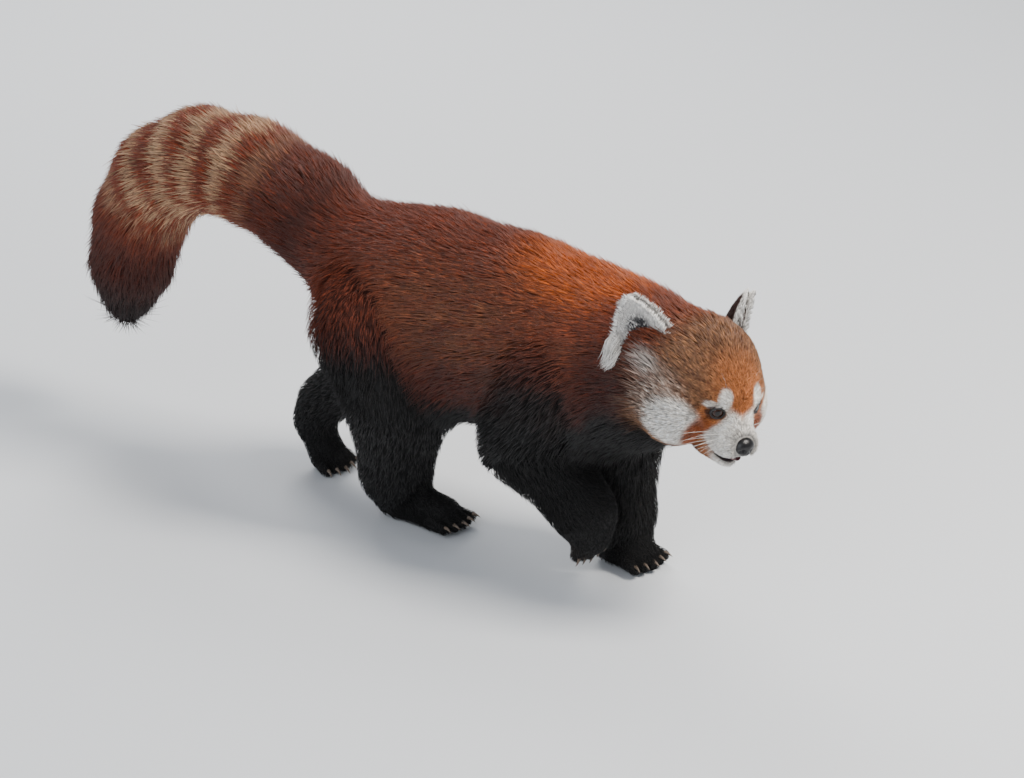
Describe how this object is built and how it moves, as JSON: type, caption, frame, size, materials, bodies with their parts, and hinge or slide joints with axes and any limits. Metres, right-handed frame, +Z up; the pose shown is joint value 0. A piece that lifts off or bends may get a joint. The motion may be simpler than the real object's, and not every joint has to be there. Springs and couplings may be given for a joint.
{
  "type": "red panda model",
  "caption": "Still life-size model of a red panda in mid stride, head low and turned to its right, tail arched behind and hanging at its end.",
  "frame": {"origin": "middle of the bounding box on the floor under the animal", "axes": "+X is the way the trunk faces, +Y the animal's left side, +Z up"},
  "size_m": [0.887, 0.2294, 0.3777],
  "materials": {
    "red_fur": "long soft fur, rust red",
    "black_fur": "dense short fur, blue black",
    "face_fur": "short fur, tan and rust with white cheeks",
    "white_fur": "short white fur",
    "tail_fur": "shaggy fur in rust and buff rings",
    "eye": "wet dark brown",
    "nose_skin": "moist black skin",
    "tongue": "moist tongue"
  },
  "bodies": {
    "root": {"torso": "red_fur", "front_left_upper_leg": "black_fur", "front_left_lower_leg": "black_fur", "front_left_paw": "black_fur", "front_right_upper_leg": "black_fur", "front_right_lower_leg": "black_fur", "front_right_paw": "black_fur", "hind_left_upper_leg": "black_fur", "hind_left_lower_leg": "black_fur", "hind_left_paw": "black_fur", "hind_right_upper_leg": "black_fur", "hind_right_lower_leg": "black_fur", "hind_right_paw": "black_fur", "neck": "red_fur", "head": "face_fur", "jaw": "white_fur", "tongue": "tongue", "nose": "nose_skin", "eye_left": "eye", "eye_right": "eye", "ear_right": "white_fur", "ear_left": "white_fur", "tail_1": "tail_fur", "tail_2": "tail_fur", "tail_3": "tail_fur", "tail_4": "tail_fur", "tail_5": "tail_fur"}
  },
  "joints": []
}
